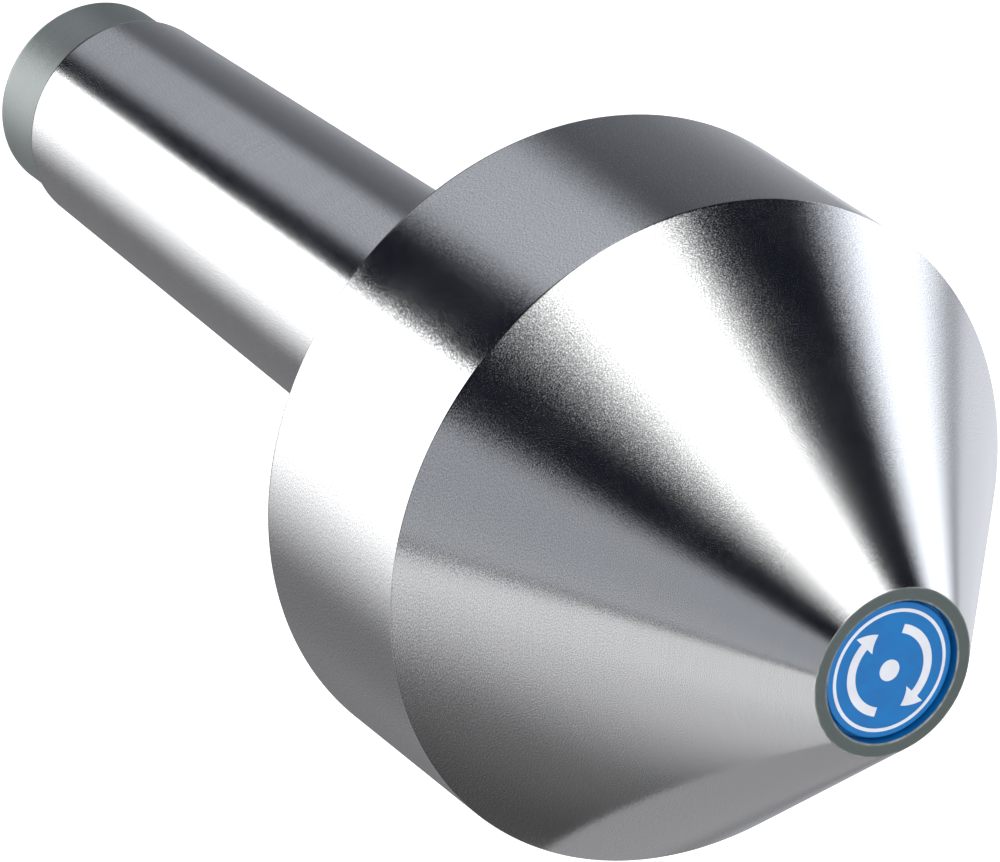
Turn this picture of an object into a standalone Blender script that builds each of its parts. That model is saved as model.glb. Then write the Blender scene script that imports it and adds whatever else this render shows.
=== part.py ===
"""Live center: a wide turning centring cone on a Morse taper shank.

Everything is turned about the lathe axis, which is X, with the nose at +X. The origin is the centre of the
taper's gauge plane. Places and sizes are millimetres and become metres where a mesh is made.
"""

import math

import bmesh
import bpy
from mathutils import Matrix

MM = 0.001
GAP = 0.3  # room between pieces that touch on the real object

# Shank: Morse taper number 3 without a tang
GAUGE_RADIUS = 23.825 / 2
TAPER_RATE = 0.05020 / 2  # growth of the radius for each mm towards the nose
SHOULDER_X = 5.0
TAPER_END_X = -73.8
TAPER_END_ROUNDING = 1.2
TAPER_END_LEAN, TAPER_END_ARC = 0.15, 154  # lean of the step down to the plain end, and its arc's last angle
SHANK_END_X = -81.0
SHANK_END_ROUNDING = 0.6
PLAIN_END_RADIUS = 18.75 / 2
CENTRE_HOLE_RADIUS = 3.1
CENTRE_HOLE_HALF_ANGLE = math.radians(30)
PILOT_RADIUS = 1.25
REAR_PILOT_DEPTH, FRONT_PILOT_DEPTH = 3.0, 2.0

# Head: truncated 75 degree cone and a cylinder
NOSE_X = 57.6
NOSE_RADIUS = 7.5
HEAD_RADIUS = 30.0
CONE_HALF_ANGLE = math.radians(37.5)
CONE_BACK_X = NOSE_X - (HEAD_RADIUS - NOSE_RADIUS) / math.tan(CONE_HALF_ANGLE)
HEAD_BACK_X = 7.4
HEAD_BACK_CHAMFER = 0.4

# Rear radial bearing, 20 x 42 x 12
REAR_BORE, REAR_OUTSIDE, REAR_WIDTH = 10.0, 21.0, 12.0
REAR_PITCH, REAR_BALL, REAR_BALLS = 15.5, 3.175, 9
REAR_SHOULDER = 2.3  # from the pitch circle to each ring's land
REAR_X = 12.3

# Thrust bearing, 20 x 35 x 10
THRUST_BORE, THRUST_OUTSIDE, THRUST_WIDTH = 10.0, 17.5, 10.0
THRUST_PITCH, THRUST_BALL, THRUST_BALLS = 13.75, 2.381, 12
THRUST_X = REAR_X + REAR_WIDTH + GAP
WASHER_THICKNESS = 2.9
WASHER_BORE_PLAY, WASHER_RIM_PLAY = 0.5, 0.25
THRUST_CAGE_INSET, THRUST_CAGE_PLAY = 0.8, 0.2

# Front radial bearing, 12 x 28 x 8
FRONT_BORE, FRONT_OUTSIDE, FRONT_WIDTH = 6.0, 14.0, 8.0
FRONT_PITCH, FRONT_BALL, FRONT_BALLS = 10.0, 2.381, 8
FRONT_SHOULDER = 1.8
FRONT_X = THRUST_X + THRUST_WIDTH + GAP

# Cages of the radial bearings
CAGE_RIM, CAGE_HALF_THICKNESS, POCKET_LENGTH = 0.8, 0.7, 6.0

# Seats and chamfers of the spindle
TIP_CHAMFER, SEAT_CHAMFER, COLLAR_CHAMFER = 0.6, 0.5, 0.4
SEAT_SHORTFALL = 0.7  # how far the rear seat ends before the thrust bearing does
THRUST_STEP = 0.5  # how much wider the head's bore is behind the housing washer's seat

# Collar, seal and cover behind the rear bearing
COLLAR_RADIUS = 16.5
SEAL_LAND_RADIUS = 13.0
SEAL_OUTSIDE = 15.0
COVER_OUTSIDE = 23.0
COVER_LIP_RADIUS = 13.8
COVER_LIP_THICKNESS = 0.6
COVER_CHAMFER = 0.4
SEAL_FLARE = 1.0  # how far the seal's bore opens from its lip to each side
SPANNER_HOLES, SPANNER_CIRCLE, SPANNER_HOLE_RADIUS, SPANNER_HOLE_DEPTH = 4, 19.8, 1.6, 2.0

# Circlip at the front end of the spindle
CIRCLIP_X = FRONT_X + FRONT_WIDTH + GAP
CIRCLIP_THICKNESS = 1.0
CIRCLIP_INSIDE, CIRCLIP_OUTSIDE, CIRCLIP_LUG = 5.3, 7.2, 8.8
LUG_START, LUG_END, RING_START = 12, 34, 40  # degrees from the middle of the opening
LUG_HOLE_CIRCLE, LUG_HOLE_RADIUS = 7.1, 0.75
SPINDLE_TIP = 1.8
SPINDLE_FRONT_X = CIRCLIP_X + CIRCLIP_THICKNESS + SPINDLE_TIP

# Nose bore, plug and label
CAVITY_RADIUS = 11.5
CAVITY_FRONT_X = 47.6
PLUG_RADIUS = 5.2
PLUG_LENGTH = 8.0
PLUG_CHAMFER = 0.5
PLUG_SOCKET_RADIUS, PLUG_SOCKET_DEPTH = 2.9, 4.0
LABEL_RADIUS = 6.0
LABEL_DEPTH = 0.5
LABEL_FACE_X = NOSE_X - LABEL_DEPTH
LABEL_THICKNESS = 0.55
RECESS_X = LABEL_FACE_X - LABEL_THICKNESS - GAP
PLUG_FRONT_X = RECESS_X - GAP

BIG_STEPS = 60
RING_STEPS = 28
CORNER_POINTS, GROOVE_POINTS = 4, 5
BALL_SEGMENTS, BALL_RINGS = 12, 8
HOLE_SIDES, HEXAGON = 10, 6
SHARP_ANGLE = math.radians(25)
AXIS_TURN = (0.0, math.pi / 2, 0.0)  # brings a turned piece's local Z onto the lathe axis


def clear_scene():
    """Removes what a new file holds."""
    for old in list(bpy.data.objects):
        bpy.data.objects.remove(old, do_unlink=True)


def new_collection(name):
    """A collection in the scene."""
    made = bpy.data.collections.new(name)
    bpy.context.scene.collection.children.link(made)
    return made


def finish(name, color, roughness, metallic):
    """A plain Principled material."""
    material = bpy.data.materials.new(name)
    material.use_nodes = True
    shader = material.node_tree.nodes["Principled BSDF"]
    shader.inputs["Base Color"].default_value = (*color, 1.0)
    shader.inputs["Roughness"].default_value = roughness
    shader.inputs["Metallic"].default_value = metallic
    return material


def axis_empty(name):
    """An empty on the lathe axis that carries the pieces of one turning group."""
    empty = bpy.data.objects.new(name, None)
    empty.empty_display_size = 10 * MM
    parts.objects.link(empty)
    return empty


def smooth(mesh):
    """Smooth shading with the edges of a turned shape kept crisp."""
    mesh.shade_smooth()
    mesh.set_sharp_from_angle(angle=SHARP_ANGLE)


def place(name, mesh, material, group):
    """The object of one piece, in its collection, with its material and its group's axis as parent."""
    piece = bpy.data.objects.new(name, mesh)
    mesh.materials.append(material)
    parts.objects.link(piece)
    piece.parent = group
    return piece


def keep_shape(piece):
    """Replaces a piece's mesh by what its modifiers make of it."""
    bpy.context.view_layer.update()
    graph = bpy.context.evaluated_depsgraph_get()
    made = bpy.data.meshes.new_from_object(piece.evaluated_get(graph))
    made.name = piece.name
    piece.modifiers.clear()
    piece.data = made
    smooth(made)


def turned(name, outline, material, group, steps=RING_STEPS):
    """A piece turned about the lathe axis.

    The outline holds (x, radius) points from the nose end along the outer side to the shank end. One that
    starts on the axis ends there too, and any other is closed into a ring.
    """
    points = [(radius * MM, 0.0, x * MM) for x, radius in outline]
    edges = [(i, i + 1) for i in range(len(points) - 1)]
    if outline[0][1] > 0:
        edges.append((len(points) - 1, 0))
    mesh = bpy.data.meshes.new(name)
    mesh.from_pydata(points, edges, [])
    piece = place(name, mesh, material, group)
    piece.rotation_euler = AXIS_TURN
    screw = piece.modifiers.new("Turn", "SCREW")
    screw.axis = "Z"
    screw.steps = steps
    screw.render_steps = steps
    screw.use_merge_vertices = True
    screw.merge_threshold = 0.00001
    keep_shape(piece)
    return piece


def cutter(name, shapes):
    """Closed prisms in one object, each given as (matrix, radius, depth, sides) in metres."""
    made = bmesh.new()
    for matrix, radius, depth, sides in shapes:
        bmesh.ops.create_cone(
            made, cap_ends=True, segments=sides, radius1=radius, radius2=radius, depth=depth, matrix=matrix
        )
    mesh = bpy.data.meshes.new(name)
    made.to_mesh(mesh)
    made.free()
    tool = bpy.data.objects.new(name, mesh)
    tool.hide_render = True
    tool.display_type = "WIRE"
    cutters.objects.link(tool)
    return tool


def cut(piece, tool):
    """Takes the tool's shapes out of a piece."""
    difference = piece.modifiers.new("Cut", "BOOLEAN")
    difference.operation = "DIFFERENCE"
    difference.solver = "EXACT"
    difference.object = tool
    keep_shape(piece)


def around(count, radius, x):
    """Matrices of equally spaced places on a circle about the lathe axis, with local X pointing outwards."""
    out = Matrix.Translation((x * MM, 0, 0)) @ Matrix.Rotation(-math.pi / 2, 4, "Y")
    shift = Matrix.Translation((radius * MM, 0, 0))
    return [out @ Matrix.Rotation(2 * math.pi * i / count, 4, "Z") @ shift for i in range(count)]


def corner(x, radius, rounding, start, end):
    """Points of a rounded corner: an arc about (x, radius) from one angle to another, measured from +X."""
    last = CORNER_POINTS - 1
    angles = [math.radians(start + (end - start) * i / last) for i in range(CORNER_POINTS)]
    return [(x + rounding * math.cos(a), radius + rounding * math.sin(a)) for a in angles]


def groove_angles(half):
    """Evenly spaced angles across a groove that opens by half to each side of its middle."""
    middle = (GROOVE_POINTS - 1) / 2
    return [half * (1 - i / middle) for i in range(GROOVE_POINTS)]


def groove(x, radius, curve, land, inwards):
    """Points of a ball groove between its two edges, from the nose side to the shank side.

    The groove is an arc about the ball's centre (x, radius), cut off where it meets the land's radius.
    """
    half = math.acos(abs(land - radius) / curve)
    side = -1 if inwards else 1
    return [(x + curve * math.sin(a), radius + side * curve * math.cos(a)) for a in groove_angles(half)]


def ring_pair(prefix, x, bore, outside, width, pitch, ball, shoulder):
    """Inner and outer ring of a radial ball bearing, with a groove for the balls."""
    middle = x + width / 2
    curve = ball + GAP
    land = pitch - shoulder
    race = groove(middle, pitch, curve, land, True)
    inner = [(x + width, land), *race, (x, land), (x, bore), (x + width, bore)]
    turned(f"{prefix}_inner_ring", inner, bearing_steel, None)
    land = pitch + shoulder
    race = groove(middle, pitch, curve, land, False)
    outer = [(x + width, outside), (x, outside), (x, land), *reversed(race), (x + width, land)]
    turned(f"{prefix}_outer_ring", outer, bearing_steel, head_axis)


def balls(prefix, count, pitch, radius, x, group):
    """The balls of one bearing, each an object of its own on one shared shape."""
    made = bmesh.new()
    bmesh.ops.create_uvsphere(made, u_segments=BALL_SEGMENTS, v_segments=BALL_RINGS, radius=radius * MM)
    for index, matrix in enumerate(around(count, pitch, x)):
        mesh = bpy.data.meshes.new(f"{prefix}_ball_{index + 1}")
        made.to_mesh(mesh)
        smooth(mesh)
        ball = place(mesh.name, mesh, bearing_steel, group)
        ball.matrix_local = matrix
    made.free()


def radial_cage(prefix, count, pitch, ball, x, group):
    """A cage ring with a round pocket across it for each ball."""
    pocket = ball + GAP
    half_width = pocket + CAGE_RIM
    outline = [
        (x + half_width, pitch + CAGE_HALF_THICKNESS),
        (x - half_width, pitch + CAGE_HALF_THICKNESS),
        (x - half_width, pitch - CAGE_HALF_THICKNESS),
        (x + half_width, pitch - CAGE_HALF_THICKNESS),
    ]
    cage = turned(f"{prefix}_cage", outline, cage_brass, group)
    turn = Matrix.Rotation(math.pi / 2, 4, "Y")
    length = POCKET_LENGTH * MM
    shapes = [(place_at @ turn, pocket * MM, length, HOLE_SIDES) for place_at in around(count, pitch, x)]
    cut(cage, cutter(f"{prefix}_pockets", shapes))


def make_spindle():
    """Shank, collar, seal land and bearing seats in one turned piece."""

    def taper(x):
        return GAUGE_RADIUS + TAPER_RATE * x

    front_seat = FRONT_BORE - GAP
    rear_seat = REAR_BORE - GAP
    groove_radius = CIRCLIP_INSIDE - GAP
    seat_end_x = THRUST_X + THRUST_WIDTH - SEAT_SHORTFALL
    land_front_x, land_back_x = REAR_X - GAP, HEAD_BACK_X - GAP
    hole_depth = (CENTRE_HOLE_RADIUS - PILOT_RADIUS) / math.tan(CENTRE_HOLE_HALF_ANGLE)
    front_pilot_x = SPINDLE_FRONT_X - hole_depth
    rear_pilot_x = SHANK_END_X + hole_depth
    outline = [
        (front_pilot_x - FRONT_PILOT_DEPTH, 0),
        (front_pilot_x - FRONT_PILOT_DEPTH, PILOT_RADIUS),
        (front_pilot_x, PILOT_RADIUS),
        (SPINDLE_FRONT_X, CENTRE_HOLE_RADIUS),
        (SPINDLE_FRONT_X, front_seat - TIP_CHAMFER),
        (SPINDLE_FRONT_X - TIP_CHAMFER, front_seat),
        (CIRCLIP_X + CIRCLIP_THICKNESS + GAP, front_seat),
        (CIRCLIP_X + CIRCLIP_THICKNESS + GAP, groove_radius),
        (CIRCLIP_X - GAP, groove_radius),
        (CIRCLIP_X - GAP, front_seat),
        (FRONT_X - GAP, front_seat),
        (FRONT_X - GAP, FRONT_PITCH - FRONT_SHOULDER),
        (seat_end_x, FRONT_PITCH - FRONT_SHOULDER),
        (seat_end_x - SEAT_CHAMFER, rear_seat),
        (land_front_x, rear_seat),
        (land_front_x, SEAL_LAND_RADIUS - SEAT_CHAMFER),
        (land_front_x - SEAT_CHAMFER, SEAL_LAND_RADIUS),
        (land_back_x, SEAL_LAND_RADIUS),
        (land_back_x, COLLAR_RADIUS - COLLAR_CHAMFER),
        (land_back_x - COLLAR_CHAMFER, COLLAR_RADIUS),
        (SHOULDER_X + COLLAR_CHAMFER, COLLAR_RADIUS),
        (SHOULDER_X, COLLAR_RADIUS - COLLAR_CHAMFER),
        (SHOULDER_X, taper(SHOULDER_X)),
        *corner(
            TAPER_END_X + TAPER_END_ROUNDING, taper(TAPER_END_X) - TAPER_END_ROUNDING,
            TAPER_END_ROUNDING, 90, TAPER_END_ARC,
        ),
        (TAPER_END_X - TAPER_END_LEAN, PLAIN_END_RADIUS),
        *corner(
            SHANK_END_X + SHANK_END_ROUNDING, PLAIN_END_RADIUS - SHANK_END_ROUNDING,
            SHANK_END_ROUNDING, 90, 180,
        ),
        (SHANK_END_X, CENTRE_HOLE_RADIUS),
        (rear_pilot_x, PILOT_RADIUS),
        (rear_pilot_x + REAR_PILOT_DEPTH, PILOT_RADIUS),
        (rear_pilot_x + REAR_PILOT_DEPTH, 0),
    ]
    turned("spindle", outline, ground_steel, None, BIG_STEPS)


def make_head():
    """The turning cone with its bearing seats, bored from behind."""
    thrust_seat = THRUST_OUTSIDE + GAP
    outline = [
        (NOSE_X, NOSE_RADIUS),
        (CONE_BACK_X, HEAD_RADIUS),
        (HEAD_BACK_X + HEAD_BACK_CHAMFER, HEAD_RADIUS),
        (HEAD_BACK_X, HEAD_RADIUS - HEAD_BACK_CHAMFER),
        (HEAD_BACK_X, COVER_OUTSIDE + GAP),
        (REAR_X - GAP, COVER_OUTSIDE + GAP),
        (REAR_X - GAP, REAR_OUTSIDE + GAP),
        (THRUST_X, REAR_OUTSIDE + GAP),
        (THRUST_X, thrust_seat + THRUST_STEP),
        (THRUST_X + THRUST_WIDTH - WASHER_THICKNESS - GAP, thrust_seat + THRUST_STEP),
        (THRUST_X + THRUST_WIDTH - WASHER_THICKNESS - GAP, thrust_seat),
        (THRUST_X + THRUST_WIDTH + GAP, thrust_seat),
        (THRUST_X + THRUST_WIDTH + GAP, FRONT_OUTSIDE + GAP),
        (CIRCLIP_X, FRONT_OUTSIDE + GAP),
        (CIRCLIP_X, CAVITY_RADIUS),
        (CAVITY_FRONT_X, CAVITY_RADIUS),
        (CAVITY_FRONT_X, PLUG_RADIUS + GAP),
        (RECESS_X, PLUG_RADIUS + GAP),
        (RECESS_X, LABEL_RADIUS + GAP),
        (NOSE_X, LABEL_RADIUS + GAP),
    ]
    turned("cone_head", outline, ground_steel, head_axis, BIG_STEPS)


def make_cover_and_seal():
    """Threaded ring that closes the head, and the rubber ring in its bore."""
    front_x = REAR_X - 2 * GAP
    lip_x = HEAD_BACK_X + COVER_LIP_THICKNESS
    outline = [
        (front_x, COVER_OUTSIDE),
        (HEAD_BACK_X + COVER_CHAMFER, COVER_OUTSIDE),
        (HEAD_BACK_X, COVER_OUTSIDE - COVER_CHAMFER),
        (HEAD_BACK_X, COVER_LIP_RADIUS),
        (lip_x, COVER_LIP_RADIUS),
        (lip_x, SEAL_OUTSIDE + GAP),
        (front_x, SEAL_OUTSIDE + GAP),
    ]
    cover = turned("rear_cover", outline, black_steel, head_axis, BIG_STEPS)
    turn = Matrix.Rotation(math.pi / 2, 4, "Y")
    deep = 2 * SPANNER_HOLE_DEPTH * MM
    places = around(SPANNER_HOLES, SPANNER_CIRCLE, HEAD_BACK_X)
    flat = [Matrix.Translation(at.translation) @ turn for at in places]
    cut(cover, cutter("spanner_holes", [(at, SPANNER_HOLE_RADIUS * MM, deep, HOLE_SIDES) for at in flat]))

    seal_back_x = lip_x + GAP
    seal_front_x = front_x - GAP
    middle_x = (seal_back_x + seal_front_x) / 2
    outline = [
        (seal_front_x, SEAL_OUTSIDE),
        (seal_back_x, SEAL_OUTSIDE),
        (seal_back_x, SEAL_LAND_RADIUS + SEAL_FLARE),
        (middle_x, SEAL_LAND_RADIUS + GAP),
        (seal_front_x, SEAL_LAND_RADIUS + SEAL_FLARE),
    ]
    turned("shaft_seal", outline, seal_rubber, head_axis)


def make_thrust_bearing():
    """Two grooved washers with a flat ring of balls between them."""
    curve = THRUST_BALL + GAP
    middle_x = THRUST_X + THRUST_WIDTH / 2
    face = THRUST_WIDTH / 2 - WASHER_THICKNESS
    half = math.acos(face / curve)
    angles = groove_angles(half)
    shapes = (
        ("thrust_housing_washer", 1, THRUST_BORE + WASHER_BORE_PLAY, THRUST_OUTSIDE, head_axis),
        ("thrust_shaft_washer", -1, THRUST_BORE, THRUST_OUTSIDE - WASHER_RIM_PLAY, None),
    )
    for name, side, bore, outside, group in shapes:
        race = [
            (middle_x + side * curve * math.cos(a), THRUST_PITCH + curve * math.sin(a)) for a in angles
        ]
        back_x = middle_x + side * THRUST_WIDTH / 2
        face_x = middle_x + side * face
        outline = [(back_x, outside), (face_x, outside), *race, (face_x, bore), (back_x, bore)]
        turned(name, outline if side > 0 else outline[::-1], bearing_steel, group)

    half_width = face - GAP - THRUST_CAGE_PLAY
    outline = [
        (middle_x + half_width, THRUST_OUTSIDE - THRUST_CAGE_INSET),
        (middle_x - half_width, THRUST_OUTSIDE - THRUST_CAGE_INSET),
        (middle_x - half_width, THRUST_BORE + WASHER_BORE_PLAY),
        (middle_x + half_width, THRUST_BORE + WASHER_BORE_PLAY),
    ]
    cage = turned("thrust_cage", outline, cage_brass, thrust_axis)
    turn = Matrix.Rotation(math.pi / 2, 4, "Y")
    places = around(THRUST_BALLS, THRUST_PITCH, middle_x)
    flat = [Matrix.Translation(at.translation) @ turn for at in places]
    cut(cage, cutter("thrust_pockets", [(at, curve * MM, THRUST_WIDTH * MM, HOLE_SIDES) for at in flat]))
    balls("thrust", THRUST_BALLS, THRUST_PITCH, THRUST_BALL, middle_x, thrust_axis)


def make_circlip():
    """An open ring with two drilled lugs, cut from flat spring steel."""

    def arc(radius, start, end, count):
        angles = [math.radians(start + (end - start) * i / count) for i in range(count + 1)]
        return [(radius * math.cos(a), radius * math.sin(a)) for a in angles]

    flat = bpy.data.curves.new("spindle_circlip", "CURVE")
    flat.dimensions = "2D"
    flat.fill_mode = "BOTH"
    flat.extrude = CIRCLIP_THICKNESS / 2 * MM
    ring = [
        *arc(CIRCLIP_LUG, LUG_START, LUG_END, 3),
        *arc(CIRCLIP_OUTSIDE, RING_START, 360 - RING_START, 20),
        *arc(CIRCLIP_LUG, 360 - LUG_END, 360 - LUG_START, 3),
        *arc(CIRCLIP_INSIDE, 360 - LUG_START, LUG_START, 24),
    ]
    loops = [ring]
    lug_middle = math.radians((LUG_START + LUG_END) / 2)
    for middle in (lug_middle, -lug_middle):
        x, y = LUG_HOLE_CIRCLE * math.cos(middle), LUG_HOLE_CIRCLE * math.sin(middle)
        loops.append([(x + px, y + py) for px, py in arc(LUG_HOLE_RADIUS, 0, 300, 5)])
    for loop in loops:
        spline = flat.splines.new("POLY")
        spline.points.add(len(loop) - 1)
        for point, (x, y) in zip(spline.points, loop):
            point.co = (x * MM, y * MM, 0, 1)
        spline.use_cyclic_u = True
    circlip = place("spindle_circlip", flat, black_steel, None)
    circlip.location.x = (CIRCLIP_X + CIRCLIP_THICKNESS / 2) * MM
    circlip.rotation_euler = AXIS_TURN


def make_plug_and_label():
    """Screw plug with a hexagon socket, and the round label over it."""
    back_x = PLUG_FRONT_X - PLUG_LENGTH
    outline = [
        (PLUG_FRONT_X, 0),
        (PLUG_FRONT_X, PLUG_RADIUS - PLUG_CHAMFER),
        (PLUG_FRONT_X - PLUG_CHAMFER, PLUG_RADIUS),
        (back_x + PLUG_CHAMFER, PLUG_RADIUS),
        (back_x, PLUG_RADIUS - PLUG_CHAMFER),
        (back_x, 0),
    ]
    plug = turned("nose_plug", outline, black_steel, head_axis)
    matrix = Matrix.Translation((PLUG_FRONT_X * MM, 0, 0)) @ Matrix.Rotation(math.pi / 2, 4, "Y")
    depth = 2 * PLUG_SOCKET_DEPTH * MM
    cut(plug, cutter("plug_socket", [(matrix, PLUG_SOCKET_RADIUS * MM, depth, HEXAGON)]))

    back_x = LABEL_FACE_X - LABEL_THICKNESS
    outline = [(LABEL_FACE_X, 0), (LABEL_FACE_X, LABEL_RADIUS), (back_x, LABEL_RADIUS), (back_x, 0)]
    turned("label_disc", outline, blue_enamel, head_axis)


clear_scene()
parts = new_collection("live_center")
cutters = new_collection("cutters")

ground_steel = finish("ground_steel", (0.52, 0.55, 0.58), 0.28, 1.0)
bearing_steel = finish("bearing_steel", (0.62, 0.63, 0.64), 0.12, 1.0)
black_steel = finish("black_steel", (0.10, 0.11, 0.11), 0.45, 0.8)
cage_brass = finish("cage_brass", (0.72, 0.52, 0.22), 0.35, 1.0)
seal_rubber = finish("seal_rubber", (0.03, 0.03, 0.03), 0.7, 0.0)
blue_enamel = finish("blue_enamel", (0.02, 0.18, 0.55), 0.3, 0.0)

head_axis = axis_empty("head_axis")
rear_axis = axis_empty("rear_cage_axis")
thrust_axis = axis_empty("thrust_cage_axis")
front_axis = axis_empty("front_cage_axis")

make_spindle()
make_head()
make_cover_and_seal()

rear_middle_x = REAR_X + REAR_WIDTH / 2
ring_pair("rear", REAR_X, REAR_BORE, REAR_OUTSIDE, REAR_WIDTH, REAR_PITCH, REAR_BALL, REAR_SHOULDER)
radial_cage("rear", REAR_BALLS, REAR_PITCH, REAR_BALL, rear_middle_x, rear_axis)
balls("rear", REAR_BALLS, REAR_PITCH, REAR_BALL, rear_middle_x, rear_axis)

make_thrust_bearing()

front_middle_x = FRONT_X + FRONT_WIDTH / 2
ring_pair("front", FRONT_X, FRONT_BORE, FRONT_OUTSIDE, FRONT_WIDTH, FRONT_PITCH, FRONT_BALL, FRONT_SHOULDER)
radial_cage("front", FRONT_BALLS, FRONT_PITCH, FRONT_BALL, front_middle_x, front_axis)
balls("front", FRONT_BALLS, FRONT_PITCH, FRONT_BALL, front_middle_x, front_axis)

make_circlip()
make_plug_and_label()
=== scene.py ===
# %% [markdown]
# # A live center in ground steel
# A live center is the turning point of a lathe's tailstock. A wide cone carries the work and turns with it
# on three bearings, and a long taper holds it in the tailstock. The sizes and joints are already settled in
# the frame, so everything here is about the looks: smooth turned surfaces in place of the faceted solids,
# the fine marks that grinding leaves, and a studio whose cards draw light and dark bands on the bare metal.

import bmesh
import bpy
import numpy as np
from mathutils import Matrix, Vector


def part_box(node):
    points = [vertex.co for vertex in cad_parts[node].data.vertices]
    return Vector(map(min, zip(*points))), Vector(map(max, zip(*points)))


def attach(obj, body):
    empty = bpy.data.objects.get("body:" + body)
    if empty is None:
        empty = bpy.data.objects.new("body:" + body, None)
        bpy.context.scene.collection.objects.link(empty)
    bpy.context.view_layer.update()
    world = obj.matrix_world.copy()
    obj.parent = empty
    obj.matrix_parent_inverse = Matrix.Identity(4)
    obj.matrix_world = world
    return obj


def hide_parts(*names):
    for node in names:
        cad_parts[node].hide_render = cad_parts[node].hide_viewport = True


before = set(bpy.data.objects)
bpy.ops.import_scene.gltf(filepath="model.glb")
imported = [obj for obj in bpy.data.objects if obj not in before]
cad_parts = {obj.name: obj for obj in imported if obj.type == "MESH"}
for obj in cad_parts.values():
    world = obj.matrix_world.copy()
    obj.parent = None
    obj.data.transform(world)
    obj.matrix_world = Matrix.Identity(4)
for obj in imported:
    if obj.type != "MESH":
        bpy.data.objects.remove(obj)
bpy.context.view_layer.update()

MM = 0.001

# %% [markdown]
# ## The camera
# Pictures of a long tool are taken with a long lens from well away, because a near camera would make the
# nose look swollen. The lathe axis is X with the nose at +X, so the camera stands in front of the nose, to
# its side and a little above it, and looks at a point close to the gauge plane of the taper.

# %% Put the camera in place
LENS, SENSOR = 281.6, 36.0
CAMERA_AZIMUTH, CAMERA_ELEVATION = 59.295, 25.557
CAMERA_DISTANCE = 0.67744
AIM = Vector((-0.53, -2.428, -1.639)) * MM


def toward(azimuth, elevation):
    """Unit vectors away from the object: (sin a cos e, -cos a cos e, sin e), for arrays of degrees."""
    a, e = np.broadcast_arrays(np.radians(azimuth), np.radians(elevation))
    return np.stack([np.sin(a) * np.cos(e), -np.cos(a) * np.cos(e), np.sin(e)], axis=-1)


eye = Vector(toward(CAMERA_AZIMUTH, CAMERA_ELEVATION))
lens = bpy.data.cameras.new("studio_camera")
lens.lens = LENS
lens.sensor_width = SENSOR
lens.clip_start, lens.clip_end = 0.01, 50.0
camera = bpy.data.objects.new("studio_camera", lens)
camera.location = AIM + eye * CAMERA_DISTANCE
camera.rotation_mode = "QUATERNION"
camera.rotation_quaternion = (-eye).to_track_quat("-Z", "Y")
bpy.context.scene.collection.objects.link(camera)
bpy.context.scene.camera = camera
bpy.context.scene.view_settings.view_transform = "Standard"
print("camera at", [round(v, 4) for v in camera.location])

# %% [markdown]
# ## Outlines with broken edges
# No edge on a turned part is perfectly sharp: the turner breaks it with a small radius, and that radius is
# what catches the light as a thin line. A piece is drawn as a list of corners, each with its own radius,
# and every corner gives way to an arc that touches both of its sides. Blender's Bevel modifier could round
# the finished mesh instead, but it would round all edges alike.
#
# Smooth shading smears the bend of an arc over the long straight side beside it. A guard row of points
# close to each arc stops that, and costs few faces.

# %% Round the corners of an outline
ARC_POINTS = 7
GUARD = 0.12
ROW_SPACING = 1.6


def straight_rows(start, end, spacing):
    """Points between two places: a guard row near each of them, and evenly spaced rows between the guards."""
    length = np.hypot(*(end - start))
    if length < 3 * GUARD:
        return np.empty((0, 2))
    count = int(np.ceil(length / spacing)) + 1
    along = np.linspace(GUARD, length - GUARD, count) / length
    return start + along[:, None] * (end - start)


def corner_arc(before, at, after, radius):
    """The arc that touches both sides of a corner.

    With p and q the unit directions from the corner to its neighbours and h half the angle between them, the
    arc touches each side radius / tan(h) from the corner, and its centre is radius / sin(h) along p + q.
    """
    p = (before - at) / np.hypot(*(before - at))
    q = (after - at) / np.hypot(*(after - at))
    half = np.arccos(np.clip(p @ q, -1, 1)) / 2
    centre = at + (p + q) / np.hypot(*(p + q)) * radius / np.sin(half)
    first, last = at + np.outer([radius / np.tan(half)] * 2, [1, 1]) * [p, q] - centre
    start = np.arctan2(first[1], first[0])
    turn = (np.arctan2(last[1], last[0]) - start + np.pi) % (2 * np.pi) - np.pi
    angles = start + turn * np.linspace(0, 1, ARC_POINTS)
    return centre + radius * np.stack([np.cos(angles), np.sin(angles)], axis=-1)


def drawn(corners, spacing=ROW_SPACING):
    """Points (x, r) of an outline, and for each of them 1 where it lies on a broken edge.

    A corner is (x, r) or (x, r, radius) in millimetres. They run from the nose along the outer side to the
    shank. An outline that starts on the axis also ends there, and any other returns to its first corner.
    """
    places = np.array([corner[:2] for corner in corners], float)
    radii = [corner[2] if len(corner) > 2 else 0.0 for corner in corners]
    closed = places[0, 1] > 0
    arcs = [
        corner_arc(places[i - 1], place, places[(i + 1) % len(places)], radius) if radius else place[None, :]
        for i, (place, radius) in enumerate(zip(places, radii))
    ]
    if closed:
        arcs.append(arcs[0][:1])
        radii.append(radii[0])
    points, edge = [arcs[0]], [np.full(len(arcs[0]), float(radii[0] > 0))]
    for last, arc, radius in zip(arcs, arcs[1:], radii[1:]):
        straight = straight_rows(last[-1], arc[0], spacing)
        points += [straight, arc]
        edge += [np.zeros(len(straight)), np.full(len(arc), float(radius > 0))]
    return np.concatenate(points), np.concatenate(edge)


sample, sample_edge = drawn([(10, 5, 1), (0, 5, 1), (0, 3), (10, 3)])
print("a plain ring has", len(sample), "points,", int(sample_edge.sum()), "of them on broken edges")

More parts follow.
